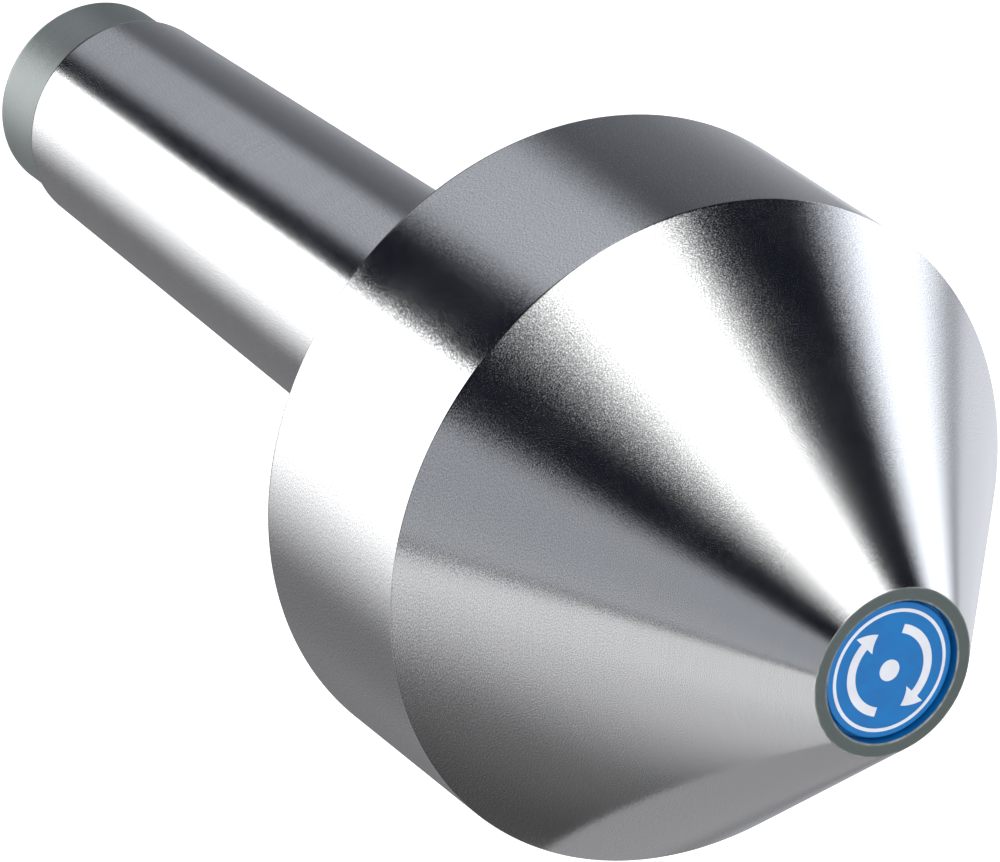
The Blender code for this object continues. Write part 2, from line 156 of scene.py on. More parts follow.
# %% [markdown]
# ## From outline to surface
# A turned surface is a function of two parameters: the place s along the outline and the angle t about the
# lathe axis. The Screw modifier makes such a surface too. Here the grid is one numpy expression, because the
# same two parameters then give the surface a map in millimetres, along which the grinding marks can run.
#
# The grid's first and last columns lie on each other, and so do all the points of a row on the axis. Merging
# them closes the seam and the poles.
#
# A screw thread needs nothing more than the same grid: the radius dips by a tooth whose place moves along the
# axis by one pitch in a full turn, so the surface still meets itself at the seam.

# %% Turn an outline about the lathe axis
SHARP = np.radians(32)
THREAD_ROWS = 8


def grid_faces(rows, columns):
    """Corner numbers of the four-sided faces of a grid whose points are numbered row by row."""
    i, j = np.meshgrid(np.arange(rows - 1), np.arange(columns - 1), indexing="ij")
    corner = i * columns + j
    return np.stack([corner, corner + 1, corner + columns + 1, corner + columns], axis=-1).reshape(-1, 4)


def grid_object(name, places, uv, edge):
    """A closed object from a grid of places, with its map in millimetres and its edge attribute."""
    faces = grid_faces(*places.shape[:2])
    mesh = bpy.data.meshes.new(name)
    mesh.from_pydata(places.reshape(-1, 3), [], faces.tolist())
    corners = uv.reshape(-1, 2)[faces.ravel()]
    mesh.uv_layers.new(name="turning").data.foreach_set("uv", corners.astype(np.float32).ravel())
    wear = mesh.attributes.new("edge", "FLOAT", "POINT")
    wear.data.foreach_set("value", edge.astype(np.float32).ravel())
    made = bmesh.new()
    made.from_mesh(mesh)
    bmesh.ops.remove_doubles(made, verts=made.verts, dist=1e-7)
    bmesh.ops.dissolve_degenerate(made, edges=made.edges, dist=1e-7)
    bmesh.ops.recalc_face_normals(made, faces=made.faces)
    made.to_mesh(mesh)
    made.free()
    mesh.shade_smooth()
    mesh.set_sharp_from_angle(angle=SHARP)
    piece = bpy.data.objects.new(name, mesh)
    bpy.context.scene.collection.objects.link(piece)
    return piece


def threaded(x, r, t, start, end, pitch, depth):
    """The radius r with a V thread cut where r is largest: less depth * tooth(x / pitch - t / 2 pi).

    The tooth rises and falls in straight lines between 0 and 1, and fades out over one pitch at both ends.
    """
    tooth = np.abs((x / pitch - t / (2 * np.pi)) % 1 * 2 - 1)
    reach = np.clip(np.minimum(x - start, end - x) / pitch, 0, 1)
    return r - depth * tooth * reach * (r > r.max() - depth)


def turned(name, corners, turns=128, thread=None):
    """A closed surface of revolution: P(s, t) = (x(s), r(s) sin t, r(s) cos t).

    In its map u is the way around, in millimetres at the largest radius, and v is the way along the outline.
    A thread is (start, end, pitch, depth) in millimetres.
    """
    points, edge = drawn(corners, thread[2] / THREAD_ROWS if thread else ROW_SPACING)
    x, r = points.T[:, :, None]
    t = np.linspace(0, 2 * np.pi, turns + 1)[None, :]
    if thread:
        r = threaded(x, r, t, *thread)
    run = np.concatenate([[0], np.cumsum(np.hypot(*np.diff(points, axis=0).T))])[:, None]
    places = np.stack(np.broadcast_arrays(x, r * np.sin(t), r * np.cos(t)), axis=-1) * MM
    uv = np.stack(np.broadcast_arrays(t * r.max(), run), axis=-1)
    return grid_object(name, places, uv, np.broadcast_to(edge[:, None], uv.shape[:2]))


def rod(front, back, radius, edge=0.0):
    """The outline of a plain rod or disc."""
    return [(front, 0), (front, radius, edge), (back, radius, edge), (back, 0)]


def ring(front, back, inside, outside, edge=0.0):
    """The outline of a plain ring, whose four corners are broken alike."""
    return [(front, outside, edge), (back, outside, edge), (back, inside, edge), (front, inside, edge)]


def stand_for(piece, node, body, slot, *materials):
    """Gives a piece its materials, lets it ride on its body and stand for its node of the frame."""
    for material in materials:
        piece.data.materials.append(material)
    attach(piece, body)
    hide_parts(node)
    print(piece.name, "has", len(piece.data.polygons), "faces")


def centres(piece):
    """Place along the axis and distance from it of each face's centre, in millimetres."""
    middle = np.empty(len(piece.data.polygons) * 3, np.float32)
    piece.data.polygons.foreach_get("center", middle)
    x, y, z = middle.reshape(-1, 3).T / MM
    return x, np.hypot(y, z)


def span(node):
    """(end towards the shank, end towards the nose, largest radius) of a turned node, in millimetres."""
    low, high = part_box(node)
    return low.x / MM, high.x / MM, high.z / MM


# %% [markdown]
# ## Building materials from nodes
# A material is a small graph. One helper adds a node, sets it up and wires its inputs, so that the code below
# reads as a list of what is mixed with what. Effects that several finishes share, such as grinding marks and
# worn edges, are node groups with named inputs and outputs.

# %% Helpers for shader nodes
FLOAT, VECTOR = "NodeSocketFloat", "NodeSocketVector"


def wire(tree, node, values):
    """Gives each input of a node, by name or number, a value or another node's output."""
    for name, value in values.items():
        if isinstance(value, bpy.types.NodeSocket):
            tree.links.new(value, node.inputs[name])
        else:
            node.inputs[name].default_value = value


def add(tree, kind, values=None, **settings):
    """A new node with its settings and the values of its inputs."""
    node = tree.nodes.new(kind)
    for name, value in settings.items():
        setattr(node, name, value)
    wire(tree, node, values or {})
    return node


def maths(tree, operation, *values):
    """The result of a Math node on numbers or outputs."""
    return add(tree, "ShaderNodeMath", dict(enumerate(values)), operation=operation).outputs[0]


def vector_maths(tree, operation, values):
    """The result of a Vector Math node on vectors or outputs."""
    return add(tree, "ShaderNodeVectorMath", values, operation=operation).outputs[0]


def span_to(tree, value, from_low, from_high, to_low, to_high, kind="LINEAR"):
    """A value moved from one range to another and held inside it."""
    return add(tree, "ShaderNodeMapRange", {0: value, 1: from_low, 2: from_high, 3: to_low, 4: to_high},
               interpolation_type=kind).outputs[0]


def mix_colors(tree, share, first, second):
    """First colour where the share is 0, second where it is 1."""
    return add(tree, "ShaderNodeMix", {0: share, 6: first, 7: second}, data_type="RGBA").outputs[2]


def noise(tree, place, scale, detail=2.0, roughness=0.5):
    """Noise about 0.5 at a place."""
    values = {"Vector": place, "Scale": scale, "Detail": detail, "Roughness": roughness}
    return add(tree, "ShaderNodeTexNoise", values).outputs["Fac"]


def new_group(name, inputs, outputs):
    """An empty node group: its tree, what its inputs give, and its output node."""
    group = bpy.data.node_groups.new(name, "ShaderNodeTree")
    for socket, value in inputs.items():
        group.interface.new_socket(socket, in_out="INPUT", socket_type=FLOAT).default_value = value
    for socket, kind in outputs.items():
        group.interface.new_socket(socket, in_out="OUTPUT", socket_type=kind)
    return group, group.nodes.new("NodeGroupInput").outputs, group.nodes.new("NodeGroupOutput")


def principled(name):
    """A new material, its tree and its Principled BSDF node."""
    material = bpy.data.materials.new(name)
    material.use_nodes = True
    return material, material.node_tree, material.node_tree.nodes["Principled BSDF"]


# %% [markdown]
# ## Grinding marks
# A grinding wheel leaves thousands of short scratches that all run around the part. Each is about a tenth
# of a millimetre wide and two or three times as long. Noise on the turning map gives them: it is squeezed
# along v and drawn out along u. Fainter streaks that run much further around lie over them.
#
# Each scratch tilts the surface by a degree or so, and it sparkles where a bright reflection turns dark,
# and hardly shows inside a bright one. A Bump node would average marks as fine as these away, since it
# compares the height at neighbouring samples. So the three colour channels of the noise tilt the normal
# directly.

# %% The grinding marks group
STREAK_LENGTH, STREAK_OFFSET = 8.0, 7.0
NOISE_SPREAD = 0.12


def make_grinding_marks():
    """Group: marks per millimetre around and along, their tilt in degrees and the share of long streaks."""
    group, given, result = new_group(
        "grinding_marks", {"Around": 3.0, "Along": 9.0, "Tilt": 1.0, "Streaks": 0.3},
        {"Mask": FLOAT, "Normal": VECTOR},
    )
    place = add(group, "ShaderNodeUVMap", uv_map="turning").outputs[0]
    u, v, _ = add(group, "ShaderNodeSeparateXYZ", {0: place}).outputs
    around = maths(group, "MULTIPLY", u, given["Around"])
    far_around = maths(group, "DIVIDE", u, STREAK_LENGTH)
    across = maths(group, "MULTIPLY", v, given["Along"])
    grain_at = add(group, "ShaderNodeCombineXYZ", {0: around, 1: across}).outputs[0]
    streak_at = add(group, "ShaderNodeCombineXYZ", {0: far_around, 1: across, 2: STREAK_OFFSET}).outputs[0]
    grain = add(group, "ShaderNodeTexNoise", {"Vector": grain_at, "Scale": 1.0, "Detail": 1.0}).outputs
    streaks = add(group, "ShaderNodeTexNoise", {"Vector": streak_at, "Scale": 0.7, "Detail": 3.0}).outputs
    share = given["Streaks"]
    marks = add(group, "ShaderNodeMix", {0: share, 2: grain["Fac"], 3: streaks["Fac"]}).outputs[0]
    lean = mix_colors(group, share, grain["Color"], streaks["Color"])
    centred = vector_maths(group, "SUBTRACT", {0: lean, 1: (0.5, 0.5, 0.5)})
    amount = maths(group, "MULTIPLY", given["Tilt"], float(np.radians(1.0)) / NOISE_SPREAD)
    tilt = vector_maths(group, "SCALE", {0: centred, "Scale": amount})
    straight = add(group, "ShaderNodeNewGeometry").outputs["Normal"]
    normal = vector_maths(group, "NORMALIZE", {0: vector_maths(group, "ADD", {0: straight, 1: tilt})})
    wire(group, result, {"Mask": marks, "Normal": normal})
    return group


GRINDING_MARKS = make_grinding_marks()

# %% [markdown]
# ## Worn edges
# Handling polishes the broken edges, so they are brighter than the skin beside them. Every turned piece
# carries an attribute that is 1 on its broken edges. The group breaks it up with noise, because wear is
# never even.

# %% The worn edges group
WEAR_SCALE, WEAR_SOFTNESS = 900.0, 0.5


def make_worn_edges():
    """Group: how much of the edge is worn, from 0 to 1."""
    group, given, result = new_group("worn_edges", {"Amount": 0.5}, {"Mask": FLOAT})
    edge = add(group, "ShaderNodeAttribute", attribute_name="edge").outputs["Fac"]
    place = add(group, "ShaderNodeTexCoord").outputs["Object"]
    patches = noise(group, place, WEAR_SCALE, 3.0, 0.6)
    start = maths(group, "SUBTRACT", 1.0, given["Amount"])
    end = maths(group, "ADD", start, WEAR_SOFTNESS)
    worn = span_to(group, maths(group, "ADD", patches, 0.5), start, end, 0, 1)
    wire(group, result, {"Mask": maths(group, "MULTIPLY", edge, worn)})
    return group


WORN_EDGES = make_worn_edges()

# %% [markdown]
# ## Handling film
# Clean steel still carries a breath of oil and faint stains. They are large and soft, and they change how
# glossy the surface is more than its colour.

# %% The handling film group


def make_handling_film():
    """Group: soft patches between 0 and 1, whose size is given in millimetres."""
    group, given, result = new_group("handling_film", {"Size": 12.0}, {"Mask": FLOAT})
    place = add(group, "ShaderNodeTexCoord").outputs["Object"]
    scale = maths(group, "DIVIDE", 1 / MM, given["Size"])
    values = {"Vector": place, "Scale": scale, "Detail": 4.0, "Distortion": 0.6}
    film = add(group, "ShaderNodeTexNoise", values).outputs["Fac"]
    wire(group, result, {"Mask": span_to(group, film, 0.35, 0.65, 0, 1, "SMOOTHSTEP")})
    return group


HANDLING_FILM = make_handling_film()

# %% [markdown]
# ## Steel finishes
# All the metals are one recipe with different numbers. The base colour is the metal's own reflection
# colour, darker in the marks and lighter between them. Roughness rises a little where the film lies. Ground
# surfaces spread a highlight across their scratches and not along them, which Anisotropic does with the
# direction of the turning map, turned by a quarter.

# %% A steel from a few numbers
MARK_LOW, MARK_HIGH = 0.32, 0.68
QUARTER_TURN = 0.25


def steel(name, color, roughness, metallic=1.0, around=3.0, along=9.0, tilt=1.0, streaks=0.3, contrast=0.05,
          glint=0.0, film=0.04, worn=0.0, worn_color=(0.75, 0.76, 0.77, 1.0), spread=0.0):
    """A Principled metal. Contrast and glint say how much the marks change its colour and roughness.

    Film is the roughness that the handling film adds, and spread the anisotropy.
    """
    material, tree, shader = principled(name)
    values = {"Around": around, "Along": along, "Tilt": tilt, "Streaks": streaks}
    marks = add(tree, "ShaderNodeGroup", values, node_tree=GRINDING_MARKS).outputs
    film_mask = add(tree, "ShaderNodeGroup", node_tree=HANDLING_FILM).outputs["Mask"]
    dark = tuple(channel * (1 - contrast) for channel in color) + (1.0,)
    light = tuple(min(1.0, channel * (1 + contrast)) for channel in color) + (1.0,)
    skin = mix_colors(tree, span_to(tree, marks["Mask"], MARK_LOW, MARK_HIGH, 0, 1), dark, light)
    if worn:
        worn_mask = add(tree, "ShaderNodeGroup", {"Amount": worn}, node_tree=WORN_EDGES).outputs["Mask"]
        skin = mix_colors(tree, worn_mask, skin, worn_color)
    dulled = span_to(tree, film_mask, 0, 1, roughness, roughness + film)
    uneven = span_to(tree, marks["Mask"], MARK_LOW, MARK_HIGH, -glint, glint)
    wire(tree, shader, {
        "Base Color": skin, "Roughness": maths(tree, "ADD", dulled, uneven), "Normal": marks["Normal"],
        "Metallic": metallic,
    })
    if spread:
        tangent = add(tree, "ShaderNodeTangent", direction_type="UV_MAP", uv_map="turning").outputs[0]
        wire(tree, shader, {
            "Anisotropic": spread, "Anisotropic Rotation": QUARTER_TURN, "Tangent": tangent,
        })
    return material


# %% The bare and skinned steels
cone_steel = steel("ground_cone_steel", (0.85, 0.86, 0.87), 0.11, around=6.0, along=15.0, tilt=1.0,
                   streaks=0.08, contrast=0.45, glint=0.05, spread=0.2)
shank_steel = steel("ground_shank_steel", (0.78, 0.79, 0.81), 0.15, around=5.0, along=14.0, tilt=0.9,
                    streaks=0.15, contrast=0.32, glint=0.03, spread=0.3)
hardened_skin = steel("hardened_skin", (0.105, 0.13, 0.125), 0.55, metallic=0.5, around=5.0, along=7.0,
                      tilt=5.0, streaks=0.1, contrast=0.14, worn=0.25, worn_color=(0.40, 0.42, 0.41, 1.0))
turned_steel = steel("turned_steel", (0.46, 0.47, 0.48), 0.30, around=0.05, along=5.0, tilt=4.0,
                     streaks=0.1, contrast=0.12, worn=0.4, spread=0.6)
unground_steel = steel("unground_steel", (0.45, 0.49, 0.48), 0.46, metallic=0.85, around=4.0, along=6.0,
                       tilt=3.0, streaks=0.2, contrast=0.10, worn=0.3, worn_color=(0.6, 0.62, 0.62, 1.0))

# %% [markdown]
# ## The turning head
# The head is one piece of hardened steel: a truncated cone in front, a cylinder behind it, and a stepped
# bore with a seat for each bearing. Its outer skin is ground, while the nose face keeps the dark grey skin
# of the hardening furnace. The rear face and the bore are only turned: the tool leaves rings there, which
# are the same marks drawn out all the way around. The bore is drawn as well, since a closed wall needs it.

# %% Turn the head
NOSE_RADIUS, RECESS_RADIUS = 7.5, 6.3
RIM_DEPTH, RIM_MARGIN, WALL_SKIN = 0.03, 0.05, 0.1
NOSE_SKIN, TURNED_STEEL = 1, 2
CONE_HALF_ANGLE = np.radians(37.5)
GAP = 0.3
THRUST_STEP = 0.5
CAVITY_FRONT, CAVITY_RADIUS = 47.6, 11.5

head_back, nose_x, head_radius = span("cone_head")
cone_back = nose_x - (head_radius - NOSE_RADIUS) / np.tan(CONE_HALF_ANGLE)
cover_back, cover_front, cover_radius = span("rear_cover")
label_back, label_face, label_radius = span("label_disc")
rear_front, rear_seat = span("rear_outer_ring")[1] + GAP, span("rear_outer_ring")[2] + GAP
thrust_back, thrust_front, thrust_seat = np.add(span("thrust_housing_washer"), (-GAP, GAP, GAP))
front_end, front_seat = span("front_outer_ring")[1] + GAP, span("front_outer_ring")[2] + GAP
plug_bore = span("nose_plug")[2] + GAP
recess_x = label_back - GAP

head = turned("turning_head", [
    (nose_x, NOSE_RADIUS, 0.04),
    (cone_back, head_radius, 0.20),
    (head_back, head_radius, 0.40),
    (head_back, cover_radius + GAP, 0.15),
    (cover_front + GAP, cover_radius + GAP),
    (cover_front + GAP, rear_seat),
    (rear_front, rear_seat),
    (rear_front, thrust_seat + THRUST_STEP),
    (thrust_back, thrust_seat + THRUST_STEP),
    (thrust_back, thrust_seat),
    (thrust_front, thrust_seat),
    (thrust_front, front_seat),
    (front_end, front_seat),
    (front_end, CAVITY_RADIUS),
    (CAVITY_FRONT, CAVITY_RADIUS),
    (CAVITY_FRONT, plug_bore),
    (recess_x, plug_bore),
    (recess_x, RECESS_RADIUS),
    (nose_x, RECESS_RADIUS, 0.10),
], turns=320)
stand_for(head, "cone_head", "head", "ground_cone_steel", cone_steel, hardened_skin, turned_steel)
along, out = centres(head)
on_nose = (along > recess_x - GAP) & ((out < NOSE_RADIUS - RIM_MARGIN) | (along > nose_x - RIM_DEPTH))
outer_skin = np.interp(along, (cone_back, nose_x), (head_radius, NOSE_RADIUS))
only_turned = (along < head_back + WALL_SKIN) | ((along < recess_x) & (out < outer_skin - WALL_SKIN))
material_of = np.where(only_turned, TURNED_STEEL, on_nose * NOSE_SKIN).astype(np.int32)
head.data.polygons.foreach_set("material_index", material_of)
print("the nose face has", int(on_nose.sum()), "faces")

# %% [markdown]
# ## The taper shank
# The shank is ground to a Morse taper, which grips by friction alone. Its small end is turned down a little
# so that the blow of a drift can't burr the taper, and that end stays unground. A 60 degree centre hole in
# each end is what the grinder held it by. Inside the head the same piece goes on as the spindle, with a
# seat for each bearing.

# %% Turn the shank and spindle
GAUGE_RADIUS, TAPER_RATE = 23.825 / 2, 0.05020 / 2
SHOULDER, TAPER_END, TAPER_STEP = 5.0, -73.8, 0.2
PLAIN_END_RADIUS = 18.75 / 2
CENTRE_HOLE_RADIUS, PILOT_RADIUS = 3.1, 1.25
CENTRE_HOLE_DEPTH = (CENTRE_HOLE_RADIUS - PILOT_RADIUS) / np.tan(np.radians(30))
PILOT_DEPTH, TIP_PILOT_DEPTH = 3.0, 2.0
REAR_BORE, FRONT_BORE = 10.0, 6.0
SEAL_LAND_RADIUS, CLIP_INSIDE = 13.0, 5.3
SEAT_SHORTFALL, SEAT_CHAMFER, FRONT_SHOULDER_RADIUS = 0.7, 0.5, 8.2

shank_end, spindle_front, collar_radius = span("spindle")
rear_back, rear_seat_radius = span("rear_inner_ring")[0], REAR_BORE - GAP
front_back, front_seat_radius = span("front_inner_ring")[0], FRONT_BORE - GAP
clip_back, clip_front, _ = span("spindle_circlip")
clip_groove = CLIP_INSIDE - GAP
rear_seat_end = thrust_front - GAP - SEAT_SHORTFALL
tip_pilot, end_pilot = spindle_front - CENTRE_HOLE_DEPTH, shank_end + CENTRE_HOLE_DEPTH
collar_face = cover_back - GAP
print("taper from radius", GAUGE_RADIUS + TAPER_RATE * SHOULDER, "to", GAUGE_RADIUS + TAPER_RATE * TAPER_END)

shank = turned("taper_shank", [
    (tip_pilot - TIP_PILOT_DEPTH, 0),
    (tip_pilot - TIP_PILOT_DEPTH, PILOT_RADIUS),
    (tip_pilot, PILOT_RADIUS),
    (spindle_front, CENTRE_HOLE_RADIUS),
    (spindle_front, front_seat_radius, 0.5),
    (clip_front + GAP, front_seat_radius),
    (clip_front + GAP, clip_groove),
    (clip_back - GAP, clip_groove),
    (clip_back - GAP, front_seat_radius),
    (front_back - GAP, front_seat_radius),
    (front_back - GAP, FRONT_SHOULDER_RADIUS),
    (rear_seat_end, FRONT_SHOULDER_RADIUS),
    (rear_seat_end - SEAT_CHAMFER, rear_seat_radius),
    (rear_back - GAP, rear_seat_radius),
    (rear_back - GAP, SEAL_LAND_RADIUS, 0.3),
    (collar_face, SEAL_LAND_RADIUS),
    (collar_face, collar_radius, 0.3),
    (SHOULDER, collar_radius, 0.3),
    (SHOULDER, GAUGE_RADIUS + TAPER_RATE * SHOULDER, 0.5),
    (TAPER_END, GAUGE_RADIUS + TAPER_RATE * TAPER_END, 0.9),
    (TAPER_END - TAPER_STEP, PLAIN_END_RADIUS, 0.1),
    (shank_end, PLAIN_END_RADIUS, 0.6),
    (shank_end, CENTRE_HOLE_RADIUS, 0.1),
    (end_pilot, PILOT_RADIUS),
    (end_pilot + PILOT_DEPTH, PILOT_RADIUS),
    (end_pilot + PILOT_DEPTH, 0),
], turns=320)
stand_for(shank, "spindle", "shank", "ground_shank_steel", shank_steel, unground_steel)
along, out = centres(shank)
shank.data.polygons.foreach_set("material_index", (along < TAPER_END - TAPER_STEP / 2).astype(np.int32))

# %% [markdown]
# ## The label
# A round plate closes the nose, a little below the face of the ring. Its blue is a baked enamel, so it is a
# plain dielectric with a thin gloss coat over it. The marks on it are printed in white: a thin ring, two
# arrows that say that the point turns, and a centre dot. The enamel also covers the wall of the recess,
# where it shows as a darker crescent beside the plate.

# %% Enamel materials


def enamel(name, color, shade):
    """A glossy paint whose colour drifts slightly between two shades, with a fine orange peel."""
    material, tree, shader = principled(name)
    place = add(tree, "ShaderNodeTexCoord").outputs["Object"]
    drift = span_to(tree, noise(tree, place, 500.0, 3.0), 0.35, 0.65, 0, 1)
    peel = noise(tree, place, 4000.0)
    bump = add(tree, "ShaderNodeBump", {"Strength": 0.4, "Distance": 1e-6, "Height": peel})
    wire(tree, shader, {
        "Base Color": mix_colors(tree, drift, (*color, 1.0), (*shade, 1.0)),
        "Roughness": span_to(tree, drift, 0, 1, 0.32, 0.42), "Normal": bump.outputs[0],
        "Coat Weight": 0.4, "Coat Roughness": 0.12,
    })
    return material


blue_enamel = enamel("blue_enamel", (0.004, 0.172, 0.49), (0.003, 0.148, 0.44))
white_print = enamel("white_print", (0.78, 0.80, 0.86), (0.72, 0.74, 0.80))

label = turned("enamel_label", [
    (label_face, 0),
    (label_face, label_radius, 0.12),
    (label_back, label_radius),
    (label_back, 0),
], turns=160)
stand_for(label, "label_disc", "head", "label_enamel", blue_enamel)

# %% Paint the recess
ENAMEL_STOP = 0.12

along, out = centres(head)
in_recess = (along > recess_x - GAP) & (along < nose_x - ENAMEL_STOP) & (out < RECESS_RADIUS + RIM_MARGIN)
material_of[in_recess] = len(head.data.materials)
head.data.materials.append(blue_enamel)
head.data.polygons.foreach_set("material_index", material_of)
print("painted faces in the recess:", int(in_recess.sum()))

# %% Print the label
PRINT_THICKNESS = 0.03
PRINT_RING = (5.15, 5.45)
ARROW_BAND = (3.3, 4.1)
ARROW_SWEEP = (20, 138)
ARROW_HEAD_SWEEP, ARROW_HEAD_SPREAD = 24, 0.75
ARROW_STEPS, TIP_STEPS = 48, 12
DOT_RADIUS = 0.95


def plate(name, low, top, inner, outer):
    """A flat plate across the axis from x = low to x = top, between two rows of points (y, z) in millimetres.

    Its section is a loop of four corners carried along the rows: P(s, k) with k the corner.
    """
    loop = [(top, inner), (top, outer), (low, outer), (low, inner), (top, inner)]
    places = np.stack([np.column_stack([np.full(len(row), x), row]) for x, row in loop], axis=1)
    ends = places[[0, -1]].mean(axis=1, keepdims=True).repeat(len(loop), axis=1)
    places = np.concatenate([ends[:1], places, ends[1:]]) * MM
    return grid_object(name, places, places[..., 1:] / MM, np.zeros(places.shape[:2]))


def polar(radius, degrees):
    """Points (y, z) at a distance from the axis and an angle from straight up, for arrays of either."""
    t = np.radians(degrees)
    return np.stack([radius * np.sin(t), radius * np.cos(t)], axis=-1)


print_low, print_top = label_face - PRINT_THICKNESS, label_face + PRINT_THICKNESS
prints = [
    turned("print_ring", ring(print_top, print_low, *PRINT_RING), turns=160),
    turned("print_dot", rod(print_top, print_low, DOT_RADIUS), turns=64),
]
for number, start in enumerate((0, 180)):
    sweep = np.linspace(start + ARROW_SWEEP[0], start + ARROW_SWEEP[1], ARROW_STEPS)
    band = [polar(radius, sweep) for radius in ARROW_BAND]
    prints.append(plate(f"print_arc_{number + 1}", print_low, print_top, *band))
    tip = np.linspace(0, 1, TIP_STEPS)
    middle = sum(ARROW_BAND) / 2
    half = ((ARROW_BAND[1] - ARROW_BAND[0]) / 2 + ARROW_HEAD_SPREAD) * (1 - tip)
    turn = start + ARROW_SWEEP[1] + ARROW_HEAD_SWEEP * tip
    wedge = [polar(middle - half, turn), polar(middle + half, turn)]
    prints.append(plate(f"print_head_{number + 1}", print_low, print_top, *wedge))
for piece in prints:
    piece.data.materials.append(white_print)
    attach(piece, "head")
print("printed marks:", len(prints))

# %% [markdown]
# ## The rear cover
# A threaded ring closes the head behind the rear bearing. It is blackened, so it looks almost like stone
# beside the ground steel, and four small holes take the pins of a face spanner. The holes are cut with a
# Boolean, because a grid that flows around them would be hard to read.

# %% A drill
CLEAR = 1.0


def drill(piece, corners, places, turns=48):
    """Takes a turned drill out of a piece at each of the places with one Boolean, and keeps what is left."""
    tool = turned("drill", corners, turns)
    made = bmesh.new()
    for place in places:
        moved = tool.data.copy()
        moved.transform(place)
        made.from_mesh(moved)
        bpy.data.meshes.remove(moved)
    made.to_mesh(tool.data)
    made.free()
    cut = piece.modifiers.new("drill", "BOOLEAN")
    cut.operation = "DIFFERENCE"
    cut.object = tool
    left = bpy.data.meshes.new_from_object(piece.evaluated_get(bpy.context.evaluated_depsgraph_get()))
    piece.modifiers.remove(cut)
    bpy.data.objects.remove(tool)
    left.shade_smooth()
    left.set_sharp_from_angle(angle=SHARP)
    piece.data = left


def beside_axis(radius, degrees):
    """Places of drills that run along the axis at a distance from it, one for each angle from straight up."""
    return [Matrix.Translation((0, y * MM, z * MM)) for y, z in polar(radius, degrees)]


def all_round(count):
    """Evenly spaced angles, the first straight up."""
    return np.arange(count) * 360.0 / count


# %% Turn and drill the cover
black_steel = steel("blackened_steel", (0.045, 0.048, 0.050), 0.38, metallic=0.7, around=2.0, along=7.0,
                    tilt=2.0, streaks=0.5, contrast=0.25, film=0.12, worn=0.45,
                    worn_color=(0.30, 0.30, 0.31, 1.0))
SPANNER_HOLES, SPANNER_CIRCLE = 4, 19.8
SPANNER_HOLE_RADIUS, SPANNER_HOLE_DEPTH = 1.6, 2.0
COUNTERSINK = 0.25
LIP_RADIUS, LIP_THICKNESS = 13.8, 0.6
COVER_PITCH, COVER_THREAD_DEPTH = 1.0, 0.5

seal_back, seal_front, seal_outside = span("shaft_seal")
seal_seat = seal_outside + GAP
cover = turned("spanner_cover", [
    (cover_front, cover_radius, 0.2),
    (cover_back, cover_radius, 0.4),
    (cover_back, LIP_RADIUS, 0.15),
    (cover_back + LIP_THICKNESS, LIP_RADIUS),
    (cover_back + LIP_THICKNESS, seal_seat),
    (cover_front, seal_seat, 0.2),
], turns=240, thread=(cover_back + COVER_PITCH / 2, cover_front, COVER_PITCH, COVER_THREAD_DEPTH))
drill(cover, [
    (cover_back + SPANNER_HOLE_DEPTH + SPANNER_HOLE_RADIUS / 2, 0),
    (cover_back + SPANNER_HOLE_DEPTH, SPANNER_HOLE_RADIUS),
    (cover_back + COUNTERSINK, SPANNER_HOLE_RADIUS),
    (cover_back - COUNTERSINK, SPANNER_HOLE_RADIUS + 2 * COUNTERSINK),
    (cover_back - CLEAR, SPANNER_HOLE_RADIUS + 2 * COUNTERSINK),
    (cover_back - CLEAR, 0),
], beside_axis(SPANNER_CIRCLE, all_round(SPANNER_HOLES)))
stand_for(cover, "rear_cover", "head", "blackened_steel", black_steel)

# %% [markdown]
# ## The shaft seal
# A rubber ring in the cover's bore keeps the grease in and the swarf out. Its bore narrows to a lip in the
# middle, which runs on the spindle's ground land. Rubber is a dark dielectric: rough, almost without
# colour, and finely pitted where the mould was blasted.

# %% Mould the seal
SEAL_FLARE, BLOOM_SHARE = 1.0, 0.35


def rubber(name, color, bloom):
    """A dull dielectric with fine pits, and a pale bloom of wax that gathers in soft patches."""
    material, tree, shader = principled(name)
    place = add(tree, "ShaderNodeTexCoord").outputs["Object"]
    patches = add(tree, "ShaderNodeGroup", node_tree=HANDLING_FILM).outputs["Mask"]
    share = maths(tree, "MULTIPLY", patches, BLOOM_SHARE)
    pits = noise(tree, place, 9000.0)
    bump = add(tree, "ShaderNodeBump", {"Strength": 0.6, "Distance": 4e-6, "Height": pits})
    wire(tree, shader, {
        "Base Color": mix_colors(tree, share, (*color, 1.0), (*bloom, 1.0)),
        "Roughness": span_to(tree, patches, 0, 1, 0.55, 0.75), "Normal": bump.outputs[0],
    })
    return material


nitrile = rubber("nitrile_rubber", (0.018, 0.018, 0.020), (0.06, 0.06, 0.058))
seal_middle = (seal_back + seal_front) / 2
seal = turned("lip_seal", [
    (seal_front, seal_outside, 0.25),
    (seal_back, seal_outside, 0.25),
    (seal_back, SEAL_LAND_RADIUS + SEAL_FLARE, 0.2),
    (seal_middle, SEAL_LAND_RADIUS + GAP, 0.1),
    (seal_front, SEAL_LAND_RADIUS + SEAL_FLARE, 0.2),
], turns=160)
stand_for(seal, "shaft_seal", "head", "seal_rubber", nitrile)

# %% [markdown]
# ## The bearing rings
# A deep groove bearing at each end of the head carries the load across the axis, and a thrust bearing
# between them takes the push of the work. All their rings are turned, hardened and ground, and the grooves
# are honed until they are nearly mirrors. A groove is an arc about the ball's centre, a little wider than
# the ball, so the outline takes it from the place and size of the frame's own balls.

